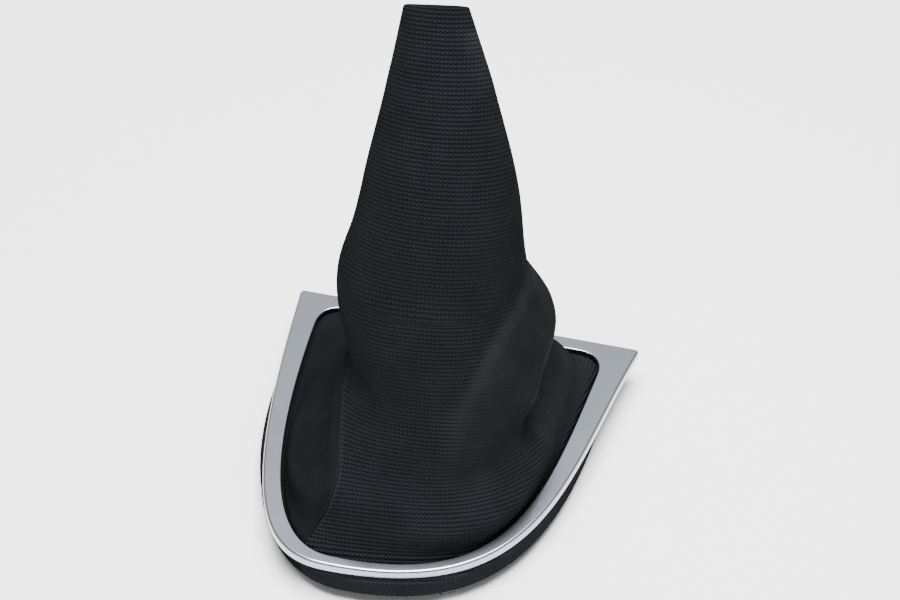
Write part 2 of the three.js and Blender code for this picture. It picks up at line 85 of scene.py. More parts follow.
LEG_SETBACK = CLOTH + CLEARANCE + CARRIER_WALL + CLEARANCE + LEG_THICKNESS / 2
STAKE_RADIUS, STAKE_HEAD, STAKE_HEAD_HEIGHT, STAKE_SETBACK = 1.1, 1.6, 1.2, 2.2
SEAM_LEFT, SEAM_RIGHT, ALLOWANCE = 247, 68, 4

RIM = dict(right=84.5, left=84.5, far=83.5, near=82.3, apex=-21.5, corner=3,
           right_lean=11, right_side=0.527, right_near=0.597, left_lean=6, left_side=0.86, left_near=0.167)
OPENING = dict(right=68.7, left=70.7, far=75.5, near=76.6, apex=-17.5, corner=14,
               right_lean=4.6, right_side=0.568, right_near=0.505,
               left_lean=3.5, left_side=0.948, left_near=0.056)
HEM = dict(right=76, left=78, far=83, near=83.6, apex=-14.5, corner=17,
           right_lean=2, right_side=0.431, right_near=0.51, left_lean=-4.3, left_side=0.542, left_near=0.23)

# Sleeve sections: height, reach to the left, right, near and far side, and squareness
SECTIONS = (
    (30, 56, 59, 66, 71, 2.6), (43, 43.5, 49, 57, 67, 2.35), (63, 33.5, 46.5, 47, 64, 2.3),
    (88, 31.5, 44.5, 37, 61, 2.3), (118, 33.3, 40.3, 25, 57, 2.2), (153, 28.8, 36.3, 11, 52, 2.1),
    (203, 19.5, 23.3, -13, 45, 2), (SLEEVE_TOP, 13.9, 11.7, -28, 42, 2.2))

# Finer here than in the CAD: steps of the outlines, and the surround's edge radius and crown
FAR_STEPS, CORNER_STEPS, LEFT_STEPS, RIGHT_STEPS = 6, 4, 18, 22
DENSITY, SURROUND_DENSITY = 12, 8
COLUMNS = (FAR_STEPS + LEFT_STEPS + RIGHT_STEPS + 2 * CORNER_STEPS) * DENSITY
FILLET, CROWN = 1.3, 0.02


# Shapes of a curve from 0 to 1
def ramp(x, low, high):
    t = np.clip((x - low) / (high - low), 0, 1)
    return t * t * (3 - 2 * t)


def band(x, *edges):
    """Rises from 0 to 1 between the first two edges, and falls back between the last two."""
    return ramp(x, *edges[:2]) * (1 - ramp(x, *edges[2:]))


def hump(distance, width):
    return np.exp(-(distance / width) ** 2)


def peak(distance, width):
    """Like a hump, but with a narrow crest."""
    return np.exp(0.25 - np.sqrt((distance / width) ** 2 + 0.0625))


def turn_to(angle, centre):
    """The angle seen from a centre, between -180 and 180 degrees."""
    return (angle - centre + 180) % 360 - 180


# Outlines, counterclockwise from the right end of the straight far edge
CURVE_SAMPLES = 2000


def bezier(points):
    order = len(points) - 1
    weights = [math.comb(order, i) for i in range(order + 1)]
    return lambda t: sum(w * ((1 - t) ** (order - i) * t ** i)[:, None] * np.asarray(p, float)
                         for i, (w, p) in enumerate(zip(weights, points)))


def lengths_along(points):
    steps = np.linalg.norm(np.diff(points, axis=0), axis=-1)
    return np.concatenate([np.zeros((1, *steps.shape[1:])), np.cumsum(steps, axis=0)])


def spaced(curve, steps):
    points = curve(np.linspace(0, 1, CURVE_SAMPLES))
    run = lengths_along(points)
    want = np.linspace(0, run[-1], steps + 1)
    return np.stack([np.interp(want, run, points[:, i]) for i in (0, 1)], -1)


def outline(shape, density=DENSITY):
    depth = shape["far"] + shape["near"]
    apex = np.array([shape["apex"], -shape["near"]])

    def side(sign, word):
        lean = math.radians(shape[word + "_lean"])
        start = np.array([sign * shape[word], shape["far"] - shape["corner"]])
        along = np.array([sign * math.sin(lean), math.cos(lean)])
        tip = start + along * shape["corner"] / along[1]
        end = np.array([tip[0] - sign * shape["corner"], shape["far"]])
        bow_a = start - along * shape[word + "_side"] * depth
        bow_b = apex + np.array([sign * shape[word + "_near"] * depth, 0])
        return end, bezier([end, tip, start]), bezier([start, bow_a, bow_b, apex])

    right_end, right_corner, right_curve = side(1, "right")
    left_end, left_corner, left_curve = side(-1, "left")
    return np.concatenate([
        spaced(bezier([right_end, left_end]), FAR_STEPS * density)[:-1],
        spaced(left_corner, CORNER_STEPS * density)[:-1],
        spaced(left_curve, LEFT_STEPS * density)[:-1],
        spaced(right_curve, RIGHT_STEPS * density)[::-1][:-1],
        spaced(right_corner, CORNER_STEPS * density)[::-1][:-1]])


def inset(ring, distance):
    along = np.roll(ring, -1, 0) - np.roll(ring, 1, 0)
    along /= np.linalg.norm(along, axis=1, keepdims=True)
    return ring + distance * np.stack([-along[:, 1], along[:, 0]], -1)


def place_at(ring, angle):
    """Point on an outline at a heading, and the direction of its outward normal in radians."""
    polar = np.degrees(np.arctan2(ring[:, 1], ring[:, 0]))
    i = int(np.argmin(np.abs(turn_to(polar, angle))))
    along = ring[(i + 1) % len(ring)] - ring[i - 1]
    return ring[i], math.atan2(-along[0], along[1])


opening, hem = outline(OPENING), outline(HEM)

# Rounded folds: how far out, then middle and half width round the sleeve and up it
Fold = namedtuple("Fold", "out heading width height rise")
LEFT_BULGE, LEFT_CREASE = Fold(6, 190, 55, 107, 20), Fold(-7, 190, 38, 79, 6.5)
FAR_BULGE, FAR_CREASE = Fold(3, 115, 45, 98, 18), Fold(-3.5, 115, 40, 74, 7)

# The near left seam: how far and between what heights it turns, the ridge on it and the hollow beside it
SEAM_TURN, SEAM_TURN_HEIGHTS = 57, (34, 106)
SEAM_RIDGE, SEAM_RIDGE_WIDTH, SEAM_RIDGE_HEIGHTS = 5.5, 13, (26, 44, 68, 83)
SEAM_HOLLOW, SEAM_HOLLOW_OFF, SEAM_HOLLOW_WIDTH, SEAM_HOLLOW_HEIGHTS = 0.7, 32, 22, (30, 45, 65, 80)

# The slanting fold at the right, and the edge above it that the leatherette hangs over
FOLD_LOW, FOLD_RISE, FOLD_HEADINGS, SLANT_HEADINGS = 51, 22, (-30, 45), (-100, -40, 60, 120)
EDGE_HEIGHT, EDGE_NEAR_FALL, EDGE_RIGHT_FALL = 112, 32, 10
EDGE_NEAR_HEADINGS, EDGE_RIGHT_HEADINGS = (32, 80), (0, 22)

# How far the leatherette leans out over the fold, is tucked in under it, and flares at its foot
LEAN, LEAN_POWER, LEAN_START = 12.5, 1.25, -0.1
LEAN_NEAR, LEAN_RIGHT, LEAN_FAR = (-95, -50), (-5, 32), (55, 110)
LEAN_SHARP, LEAN_SOFTER, LEAN_SOFT_HEADINGS = 0.12, 0.5, (-55, -10)
TUCK, TUCK_BELOW, TUCK_RISE, TUCK_NEAR_SHARE = 4.5, 8, 7, 0.15
TUCK_NEAR, TUCK_RIGHT, TUCK_FAR = (-65, -25), (-8, 22), (50, 110)
FLARE, FLARE_HEADING, FLARE_WIDTH, FLARE_HEIGHTS = 11, 52, 18, (19, 31, 48, 66)

# The dip where the leatherette leaves the opening, and the stretch where it is shallower
DIP, DIP_HEIGHTS = 0.9, (18.5, 21, 22, 31)
SHALLOW_SHARE, SHALLOW_HEADING, SHALLOW_WIDTH = 0.8, 20, 60

# Fine creases: heading and height of both ends, height and half width of the crest
STREAKS = ((28, 56, 26, 30, 0.7, 2.6), (31, 63, 38, 38, 1.1, 3.4), (19, 50, 11, 28, 0.5, 3.0),
           (2, 108, 14, 88, 0.4, 3.6), (-48, 66, -66, 50, 0.3, 3.0), (46, 56, 52, 34, 0.7, 3.4))
STREAK_RADIUS, STREAK_FURROW = 45, 0.4
STREAK_PAST, STREAK_RISEN, STREAK_FALLS = 2, 0.3, 0.6


def swell(fold, angle, z):
    return fold.out * hump(turn_to(angle, fold.heading), fold.width) * hump(z - fold.height, fold.rise)


def seam_angle(z):
    return SEAM_LEFT - SEAM_TURN * ramp(z, *SEAM_TURN_HEIGHTS)


def left_folds(angle, z):
    from_seam = turn_to(angle, seam_angle(z))
    ridge = SEAM_RIDGE * peak(from_seam, SEAM_RIDGE_WIDTH) * band(z, *SEAM_RIDGE_HEIGHTS)
    hollow = SEAM_HOLLOW * hump(from_seam + SEAM_HOLLOW_OFF, SEAM_HOLLOW_WIDTH)
    return (swell(LEFT_BULGE, angle, z) + swell(LEFT_CREASE, angle, z) + ridge
            - hollow * band(z, *SEAM_HOLLOW_HEIGHTS))


def far_folds(angle, z):
    return swell(FAR_BULGE, angle, z) + swell(FAR_CREASE, angle, z)


def right_fold_line(a):
    return FOLD_LOW + FOLD_RISE * ramp(a, *FOLD_HEADINGS)


def right_edge_line(a):
    near_fall = EDGE_NEAR_FALL * ramp(-a, *EDGE_NEAR_HEADINGS)
    return EDGE_HEIGHT - near_fall - EDGE_RIGHT_FALL * ramp(a, *EDGE_RIGHT_HEADINGS)


def right_folds(angle, z):
    a = turn_to(angle, 0)
    fold, edge = right_fold_line(a), right_edge_line(a)
    reach = (ramp(a, *LEAN_NEAR) + ramp(a, *LEAN_RIGHT)) / 2 * (1 - ramp(a, *LEAN_FAR))
    soft = LEAN_SHARP + LEAN_SOFTER * (1 - ramp(a, *LEAN_SOFT_HEADINGS))
    t = (z - fold) / (edge - fold)
    lean = LEAN * np.maximum(0, 1 - t) ** LEAN_POWER * ramp(t, LEAN_START, soft)
    tuck = TUCK * hump(z - fold + TUCK_BELOW, TUCK_RISE) * (1 - ramp(a, *TUCK_FAR))
    tuck = tuck * (TUCK_NEAR_SHARE * ramp(a, *TUCK_NEAR) + (1 - TUCK_NEAR_SHARE) * ramp(a, *TUCK_RIGHT))
    flare = FLARE * hump(a - FLARE_HEADING, FLARE_WIDTH) * band(z, *FLARE_HEIGHTS)
    return reach * lean - tuck + flare


def fine_folds(angle, z):
    """Small creases, and the dip where the leatherette leaves the opening."""
    shallow = 1 - SHALLOW_SHARE * hump(turn_to(angle, SHALLOW_HEADING), SHALLOW_WIDTH)
    fold = -DIP * band(z, *DIP_HEIGHTS) * shallow
    for a0, z0, a1, z1, height, width in STREAKS:
        across = np.array([math.radians(turn_to(a1, a0)) * STREAK_RADIUS, z1 - z0])
        length = math.hypot(*across)
        x, y = np.radians(turn_to(angle, a0)) * STREAK_RADIUS, z - z0
        along = (x * across[0] + y * across[1]) / length
        aside = (x * across[1] - y * across[0]) / length
        crest = hump(aside, width) - STREAK_FURROW * hump(np.abs(aside) - 2 * width, width)
        fade = band(along, -STREAK_PAST, STREAK_RISEN * length, STREAK_FALLS * length, length + STREAK_PAST)
        fold = fold + height * crest * fade
    return fold


def slant(angle, z):
    """How far the rows are lifted, so that they run along the slanting fold."""
    a = turn_to(angle, 0)
    middle = FOLD_LOW + FOLD_RISE / 2
    fade = band(z, SLEEVE_LOW, middle, middle, 2 * middle - SLEEVE_LOW)
    return (right_fold_line(a) - middle) * band(a, *SLANT_HEADINGS) * fade


# Rows of the leatherette's middle surface
FOOT_INSET, SEAM_PULL = 1.5 * CLOTH, 0.7
ROW_BANDS = ((SLEEVE_LOW, 42, 18), (42, 118, 72))  # from, to, rows
TOP_ROWS = 52
HEM_BEND, BEND_SHARE = 1.6, 0.3
HEM_STEPS = (4, 4, 4, 4, 3, 3, 5, 4)  # rows in each stretch of the hem
HEM_WALL_ROWS = sum(HEM_STEPS[:3])
TOP_FOLD_GAP = 0.3
TOP_TURNS = np.arange(22.5, 180, 22.5)


def smooth_pieces(places):
    """Centripetal Catmull-Rom coefficients of each stretch between two rows of points."""
    p = np.concatenate([2 * places[:1] - places[1:2], places, 2 * places[-1:] - places[-2:-1]])
    d = np.maximum(np.linalg.norm(np.diff(p, axis=0), axis=2, keepdims=True), 1e-6) ** 0.5
    pieces = []
    for i in range(len(places) - 1):
        p0, p1, p2, p3 = p[i:i + 4]
        d0, d1, d2 = d[i:i + 3]
        t1 = ((p1 - p0) / d0 - (p2 - p0) / (d0 + d1) + (p2 - p1) / d1) * d1
        t2 = ((p2 - p1) / d1 - (p3 - p1) / (d1 + d2) + (p3 - p2) / d2) * d1
        pieces.append((p1, t1, 3 * (p2 - p1) - 2 * t1 - t2, 2 * (p1 - p2) + t1 + t2))
    return np.array(pieces)


def sleeve_lofts():
    """The sleeve's sections. Near the left seam their points turn with it on the way up."""
    foot = inset(opening, FOOT_INSET)
    middle = ((OPENING["right"] - OPENING["left"]) / 2, (OPENING["far"] - OPENING["near"]) / 2)
    half = ((OPENING["right"] + OPENING["left"]) / 2, (OPENING["far"] + OPENING["near"]) / 2)
    base = np.degrees(np.arctan2((foot[:, 1] - middle[1]) / half[1], (foot[:, 0] - middle[0]) / half[0]))
    pull = np.cos(np.radians(np.minimum(90, np.abs(turn_to(base, SEAM_LEFT)) * SEAM_PULL))) ** 2
    places = [np.column_stack([foot, np.full(COLUMNS, SLEEVE_LOW)])]
    for z, left, right, near, far, square in SECTIONS:
        angle = np.radians(base - pull * (SEAM_LEFT - seam_angle(z)))
        cos, sin = np.cos(angle), np.sin(angle)
        reach = (np.abs(cos) ** square + np.abs(sin) ** square) ** (-1 / square)
        places.append(np.column_stack([(right - left) / 2 + (right + left) / 2 * reach * cos,
                                       (far - near) / 2 + (far + near) / 2 * reach * sin,
                                       np.full(COLUMNS, z)]))
    return np.array(places)


def sleeve_rows(heights):
    places = sleeve_lofts()
    pieces = smooth_pieces(places)
    section_heights = places[:, 0, 2]
    column = np.arange(COLUMNS)

    def at_height(z):
        z = np.broadcast_to(np.asarray(z, float), (COLUMNS,))
        i = np.clip(np.searchsorted(section_heights, z, side="right") - 1, 0, len(pieces) - 1)
        t = ((z - section_heights[i]) / (section_heights[i + 1] - section_heights[i]))[:, None]
        a, b, c, d = (pieces[i, k, column] for k in range(4))
        point = a + t * (b + t * (c + t * d))
        point[:, 2] = z
        return point

    rows = []
    for height in heights:
        ring = at_height(height)
        middle = ring.mean(0)
        ring = at_height(height + slant(np.degrees(np.arctan2(*(ring - middle)[:, 1::-1].T)), height))
        away = (ring - middle) * (1, 1, 0)
        away /= np.linalg.norm(away, axis=1, keepdims=True)
        angle, z = np.degrees(np.arctan2(away[:, 1], away[:, 0])), ring[:, 2]
        fold = left_folds(angle, z) + right_folds(angle, z) + far_folds(angle, z) + fine_folds(angle, z)
        y = ring[:, 1]
        lift = MOUTH_TILT * ramp(height, SLEEVE_TOP / 2, SLEEVE_TOP)
        ring = ring + away * fold[:, None]
        x = ring[:, 0]
        ring[:, 2] += lift * (1 - 2 * (y - y.min()) / (y.max() - y.min()))
        ring[:, 2] += lift * MOUTH_ROLL * (2 * (x - x.min()) / (x.max() - x.min()) - 1)
        rows.append(ring)
    return np.array(rows)


def hem_rows():
    """From the hem's cut edge up its wall, over the carrier and in to the opening."""
    def level(ring, z):
        return np.column_stack([ring, np.full(COLUMNS, z)])

    outside, turned = inset(hem, CLOTH / 2), inset(hem, CLOTH / 2 + HEM_BEND)
    bend = inset(hem, CLOTH / 2 + BEND_SHARE * HEM_BEND)
    lip = inset(opening, -HEM_BEND)
    return np.array([
        level(outside, HEM_LOW), level(outside, (HEM_LOW + CLOTH_MIDDLE) / 2),
        level(outside, CLOTH_MIDDLE - HEM_BEND), level(bend, CLOTH_MIDDLE - BEND_SHARE * HEM_BEND),
        level(turned, CLOTH_MIDDLE), level((turned + lip) / 2, CLOTH_MIDDLE), level(lip, CLOTH_MIDDLE),
        level(inset(opening, CLOTH), CLOTH_MIDDLE + CLOTH / 3)])


def middle_surface():
    """Rows from the hem's cut edge up to the mouth."""
    bands = [np.linspace(low, high, rows, endpoint=False) for low, high, rows in ROW_BANDS]
    top = np.linspace(ROW_BANDS[-1][1], SLEEVE_TOP - 1, TOP_ROWS)
    sleeve = sleeve_rows(np.concatenate([*bands, top]))
    control = np.concatenate([hem_rows(), sleeve[[0, 2]]])
    hem_part = [a + t * (b + t * (c + t * d))
                for (a, b, c, d), steps in zip(smooth_pieces(control), HEM_STEPS)
                for t in np.arange(steps) / steps]
    return np.concatenate([hem_part, sleeve])


def normals_of(grid):
    along = np.roll(grid, -1, 1) - np.roll(grid, 1, 1)
    up = np.gradient(grid, axis=0)
    normal = np.cross(along, up)
    return normal / np.linalg.norm(normal, axis=2, keepdims=True)


def with_folded_top(grid):
    """Adds the turn at the mouth and the leatherette folded down inside it."""
    normal = normals_of(grid)
    radius = (CLOTH + TOP_FOLD_GAP) / 2
    up = grid[-1] - grid[-2]
    up /= np.linalg.norm(up, axis=1, keepdims=True)
    turn = [grid[-1] + up * radius * math.sin(t) - normal[-1] * radius * (1 - math.cos(t))
            for t in np.radians(TOP_TURNS)]
    down = lengths_along(grid[::-1, 0])
    last = int(np.searchsorted(down, TOP_FOLD)) + 1
    inside = [grid[-1 - k] - normal[-1 - k] * 2 * radius for k in range(last)]
    return np.concatenate([grid, turn, inside])


surface = middle_surface()
sleeve_start, mouth_row = sum(HEM_STEPS), len(surface) - 1
surface = with_folded_top(surface)
normal = normals_of(surface)
from_middle = surface - surface.mean(1, keepdims=True)
heading = turn_to(np.degrees(np.arctan2(from_middle[..., 1], from_middle[..., 0])), 0)
height = surface[..., 2]
row_height = height.mean(1)

# Painted highlight on creases: the bend per millimetre at which that starts and is full, and over what points
# the bend is measured
CREST_BEND, CREST_COLUMNS, CREST_ROWS, CREST_FROM = (0.03, 0.15), 5, 2, (31, 38)
# The hem's wall gets painted light, as it stands in shade
LEAST_APART, HEM_PAINTED_LIGHT, ROWS_BARE_LOW, ROWS_BARE_TOP = 0.2, 0.6, 4, 3
# A painted highlight in a band just below the right edge, where the facet under it catches the light
FACET_HIGHLIGHT, FACET_HIGHLIGHT_BELOW, FACET_HIGHLIGHT_RISE, FACET_HIGHLIGHT_HEADINGS = 0.45, 7, 6, (-80, -55, 40, 80)

# Where the emboss is stretched: below the right edge, above the right fold, and over the flare
STRETCH_BELOW, STRETCH_ABOVE, STRETCH_HEADINGS = (-3, 5), (-18, 0), (-85, -60, 60, 95)
FLARE_STRETCH, FLARE_STRETCH_HEADINGS, FLARE_STRETCH_HEIGHTS = 0.9, (-18, 8), (14, 22)


def crest_highlights():
    """How much painted highlight the leatherette gets where it bends outwards over a fold and in a band below
    the right edge: 0 on flat leatherette, 1 on a sharp crest.
    """
    def bend(step, axis):
        before, after = np.roll(surface, step, axis) - surface, np.roll(surface, -step, axis) - surface
        apart = (np.linalg.norm(before, axis=2) + np.linalg.norm(after, axis=2)) / 2
        return -((before + after) * normal).sum(2) / np.maximum(apart, LEAST_APART) ** 2

    sharpest = np.maximum(bend(CREST_COLUMNS, 1), bend(CREST_ROWS, 0))
    facet_highlight = FACET_HIGHLIGHT * hump(right_edge_line(heading) - height - FACET_HIGHLIGHT_BELOW, FACET_HIGHLIGHT_RISE) * band(heading, *FACET_HIGHLIGHT_HEADINGS)
    crest = np.maximum(ramp(sharpest, *CREST_BEND), facet_highlight) * ramp(height, *CREST_FROM)
    crest[:sleeve_start + ROWS_BARE_LOW] = crest[mouth_row - ROWS_BARE_TOP:] = 0
    # Painted light over the whole hem wall, against the shade it stands in
    crest[:HEM_WALL_ROWS] = HEM_PAINTED_LIGHT
    return crest


def stretched():
    """Where the leatherette is stretched over the right fold, which flattens its emboss."""
    below = ramp(right_edge_line(heading) - height, *STRETCH_BELOW)
    above = ramp(height - right_fold_line(heading), *STRETCH_ABOVE)
    flare = ramp(heading, *FLARE_STRETCH_HEADINGS) * ramp(height, *FLARE_STRETCH_HEIGHTS)
    return np.maximum(below * above, FLARE_STRETCH * flare) * band(heading, *STRETCH_HEADINGS)


marks = np.stack([crest_highlights(), stretched()], -1)

# Panels: their grid, the edge that turns into a seam, and the low ridge and the painted highlight along it
PANEL_SPACING = 1.2
PATTERN_ROWS, PATTERN_COLUMNS = 34, 28
LATTICE_TURN = 15
TOP_ROW_LENGTH = 0.9
SEAM_GAP, ROLL_RADIUS, EDGE_RADIUS, INNER_BEND, PROFILE_STEPS = 0.04, 0.7, 0.35, 0.1, 6
SEAM_HEIGHTS = (19, 25, SLEEVE_TOP - TOP_FOLD - 16, SLEEVE_TOP - TOP_FOLD - 5)
RIDGE_HEIGHT, RIDGE_WIDTH, RIDGE_FADE = 0.55, 1.5, (66, 100)
SEAM_HIGHLIGHT, SEAM_HIGHLIGHT_OFF, SEAM_HIGHLIGHT_WIDTH, SEAM_HIGHLIGHT_HEIGHTS = 0.42, 0.5, 0.9, (24, 34, 90, 110)
SEAM_STRETCH_WIDTH = 1.6


def seam_column(angle):
    """The seams follow the columns of the CAD's coarser grid."""
    coarse = hem[::DENSITY]
    off = np.abs(turn_to(np.degrees(np.arctan2(coarse[:, 1], coarse[:, 0])), angle))
    return int(np.argmin(off)) * DENSITY


def edge_profile():
    """Cross-sections of a panel's edge, from its end to the face: (across, depth) of the outer and inner skin,
    where the leatherette turns into the seam, and where it is just cut."""
    half = CLOTH / 2
    turn = np.radians(np.linspace(0, 90, PROFILE_STEPS))
    sink = half - ROLL_RADIUS
    outer = [(SEAM_GAP, sink - ALLOWANCE), (SEAM_GAP, sink - ALLOWANCE / 2)]
    outer += [(SEAM_GAP + ROLL_RADIUS * (1 - math.cos(t)), sink + ROLL_RADIUS * math.sin(t)) for t in turn]
    inner = [(SEAM_GAP + CLOTH, sink - ALLOWANCE), (SEAM_GAP + CLOTH, sink - ALLOWANCE / 2)]
    inner += [(SEAM_GAP + CLOTH + INNER_BEND * (1 - math.cos(t)), INNER_BEND * (math.sin(t) - 1) - half)
              for t in turn]
    cut_outer = [(SEAM_GAP, -half), (SEAM_GAP, 0)]
    cut_outer += [(SEAM_GAP + EDGE_RADIUS * (1 - math.cos(t)), half - EDGE_RADIUS * (1 - math.sin(t)))
                  for t in turn]
    count = len(outer)
    cut_inner = [(SEAM_GAP + EDGE_RADIUS * (k + 0.2) / (count - 0.8), -half) for k in range(count)]
    return tuple(np.array(p) for p in (outer, inner, cut_outer, cut_inner))


TURNED_OUTER, TURNED_INNER, CUT_OUTER, CUT_INNER = edge_profile()


def interpolate(values, run, want):
    return np.stack([np.interp(want, run, column) for column in values.T], -1)


def seam_share(z, row):
    """1 where the edges are turned into the seam, 0 where they are just cut."""
    return 0.0 if row > mouth_row else float(band(z, *SEAM_HEIGHTS))


def unwrapped(coarse):
    """Lays a grid of points out flat with the least stretch, at any scale and turn."""
    size = coarse.shape[:2]
    grid = np.arange(size[0] * size[1]).reshape(size)
    faces = np.stack([grid[:-1, :-1], grid[:-1, 1:], grid[1:, 1:], grid[1:, :-1]], -1).reshape(-1, 4)
    mesh = bpy.data.meshes.new("pattern")
    mesh.from_pydata((coarse.reshape(-1, 3) * MM).tolist(), [], faces.tolist())
    mesh.uv_layers.new(name="flat")
    pattern = bpy.data.objects.new("pattern", mesh)
    bpy.context.scene.collection.objects.link(pattern)
    for other in bpy.context.selected_objects:
        other.select_set(False)
    bpy.context.view_layer.objects.active = pattern
    pattern.select_set(True)
    bpy.ops.object.mode_set(mode="EDIT")
    bpy.ops.mesh.select_all(action="SELECT")
    bpy.ops.uv.unwrap(method="MINIMUM_STRETCH", iterations=24, margin=0)
    bpy.ops.object.mode_set(mode="OBJECT")
    loops = np.empty(len(mesh.loops), np.int32)
    mesh.loops.foreach_get("vertex_index", loops)
    uv = np.empty(len(mesh.loops) * 2, np.float32)
    mesh.uv_layers["flat"].data.foreach_get("uv", uv)
    flat = np.zeros((size[0] * size[1], 2))
    flat[loops] = uv.reshape(-1, 2)
    bpy.data.objects.remove(pattern)
    bpy.data.meshes.remove(mesh)
    return flat.reshape(*size, 2)


def flat_pattern(index):
    """A panel's flat pattern in millimetres: shares of its width, and the point at each share of each row."""
    def cross(a, b):
        return a[..., 0] * b[..., 1] - a[..., 1] * b[..., 0]

    rows = np.unique(np.linspace(0, mouth_row, PATTERN_ROWS).astype(int))
    columns = np.unique(np.linspace(0, len(index) - 1, PATTERN_COLUMNS).astype(int))
    coarse = surface[np.ix_(rows, index[columns])]
    flat = unwrapped(coarse)
    flat_area = cross(np.diff(flat, axis=1)[:-1], np.diff(flat, axis=0)[:, :-1]).sum()
    real = np.cross(np.diff(coarse, axis=1)[:-1], np.diff(coarse, axis=0)[:, :-1])
    flat = flat * math.sqrt(np.linalg.norm(real, axis=2).sum() / abs(flat_area))
    if flat_area < 0:
        flat[..., 0] *= -1
    middle, centre = len(rows) // 2, len(columns) // 2
    up = flat[-1, centre] - flat[middle, centre]
    turn = math.atan2(up[0], up[1]) + math.radians(LATTICE_TURN)
    flat = flat @ np.array([[math.cos(turn), math.sin(turn)], [-math.sin(turn), math.cos(turn)]])
    flat -= flat[middle, centre]
    every_row = np.stack([[np.interp(np.arange(mouth_row + 1), rows, flat[:, c, k])
                           for c in range(len(columns))] for k in (0, 1)], -1)
    return columns / (len(index) - 1), every_row.transpose(1, 0, 2)


def between_edges(profile, total, count):
    return np.linspace(profile[-1, 0], total - profile[-1, 0], count)[1:-1]


def skin_row(points, facing, run, profile, count, ridge, side):
    """One row of a panel's outer (side 1) or inner (side -1) skin: an edge, the field and the other edge."""
    total = run[-1]
    inside = between_edges(profile, total, count)
    near = interpolate(points, run, profile[:, 0])
    near_up = interpolate(facing, run, profile[:, 0])
    near_up[:2] = facing[0]
    far = interpolate(points, run, total - profile[::-1, 0])
    far_up = interpolate(facing, run, total - profile[::-1, 0])
    far_up[-2:] = facing[-1]
    field = interpolate(points, run, inside)
    field_up = interpolate(facing, run, inside)
    field_up /= np.linalg.norm(field_up, axis=1, keepdims=True)
    raised = side * CLOTH / 2 + ridge * hump(np.minimum(inside, total - inside), RIDGE_WIDTH)
    lift = profile[:, 1:] + ridge * hump(profile[:, :1], RIDGE_WIDTH)
    return np.concatenate([near + near_up * lift, field + field_up * raised[:, None],
                           far + far_up * lift[::-1]])


def flat_row(across, run, row, shares, flat):
    """Where the points of a row lie on the flat pattern, beyond its ends and past the mouth too."""
    level = min(row, mouth_row)
    on_row = np.clip(across, 0, run[-1])
    share = np.interp(on_row, run, np.linspace(0, 1, len(run)))
    place = np.stack([np.interp(share, shares, flat[level, :, k]) for k in (0, 1)], -1)
    side = flat[level, -1] - flat[level, 0]
    place += (across - on_row)[:, None] * side / np.linalg.norm(side)
    place[:, 1] += (row - level) * TOP_ROW_LENGTH
    return np.column_stack([place, np.zeros(len(place))])


def panel_grid(first, last):
    """Outer and inner skin of a panel, with each point's place on the flat pattern and its look: painted
    highlight on crests, stretch and painted highlight along the seam."""
    span = (last - first) % COLUMNS
    index = (first + np.arange(span + 1)) % COLUMNS
    longest = max(lengths_along(row[index])[-1] for row in surface[::8])
    count = int(longest / PANEL_SPACING)
    shares, flat = flat_pattern(index)
    outer, inner, cut, look = [], [], [], []
    for row, z in enumerate(row_height):
        points, facing = surface[row][index], normal[row][index]
        run = lengths_along(points)
        total = run[-1]
        seam = seam_share(z, row)
        ridge = RIDGE_HEIGHT * seam * float(1 - ramp(z, *RIDGE_FADE))
        profile = (1 - seam) * CUT_OUTER + seam * TURNED_OUTER
        inner_profile = (1 - seam) * CUT_INNER + seam * TURNED_INNER
        outer.append(skin_row(points, facing, run, profile, count, ridge, 1))
        inner.append(skin_row(points, facing, run, inner_profile, count, ridge, -1))
        edge = profile[:, 0] + np.minimum(0, profile[:, 1] - CLOTH / 2)
        across = np.concatenate([edge, between_edges(profile, total, count), total - edge[::-1]])
        cut.append(flat_row(across, run, row, shares, flat))
        crest, stretch = interpolate(marks[row][index], run, np.clip(across, 0, total)).T
        from_seam = np.minimum(np.abs(across), np.abs(total - across))
        stretch = np.maximum(stretch, seam * hump(from_seam, SEAM_STRETCH_WIDTH))
        # A painted highlight along the seam's ridge
        seam_highlight = SEAM_HIGHLIGHT * seam * float(band(z, *SEAM_HIGHLIGHT_HEIGHTS))
        seam_highlight = seam_highlight * hump(from_seam - SEAM_HIGHLIGHT_OFF, SEAM_HIGHLIGHT_WIDTH)
        look.append(np.column_stack([crest, stretch, seam_highlight]))
    return np.array(outer), np.array(inner), np.array(cut), np.array(look)


def sheet_mesh(name, outer, inner, cut, look):
    rows, width = outer.shape[:2]
    points = np.concatenate([outer.reshape(-1, 3), inner.reshape(-1, 3)]) * MM
    grid = np.arange(rows * width).reshape(rows, width)
    back = grid + rows * width

    def quads(a, b, c, d):
        return np.stack([a, b, c, d], -1).reshape(-1, 4)

    faces = np.concatenate([
        quads(grid[:-1, :-1], grid[:-1, 1:], grid[1:, 1:], grid[1:, :-1]),
        quads(back[:-1, 1:], back[:-1, :-1], back[1:, :-1], back[1:, 1:]),
        quads(grid[:-1, 0], grid[1:, 0], back[1:, 0], back[:-1, 0]),
        quads(grid[:-1, -1], back[:-1, -1], back[1:, -1], grid[1:, -1]),
        quads(grid[0, :-1], back[0, :-1], back[0, 1:], grid[0, 1:]),
        quads(grid[-1, :-1], grid[-1, 1:], back[-1, 1:], back[-1, :-1])])
    mesh = bpy.data.meshes.new(name)
    mesh.from_pydata(points.tolist(), [], faces.tolist())
    outer_cut = cut.reshape(-1, 3)  # the inner skin's grain lies 1 mm along in the same noise
    for attribute_name, skins in (("cut", (outer_cut, outer_cut + (0, 0, 1))), ("look", (look, look))):
        attribute = mesh.attributes.new(attribute_name, "FLOAT_VECTOR", "POINT")
        attribute.data.foreach_set("vector", np.concatenate(skins).astype(np.float32).ravel())
    return mesh


# Materials
NOISE_RANGE = (0.3, 0.7)


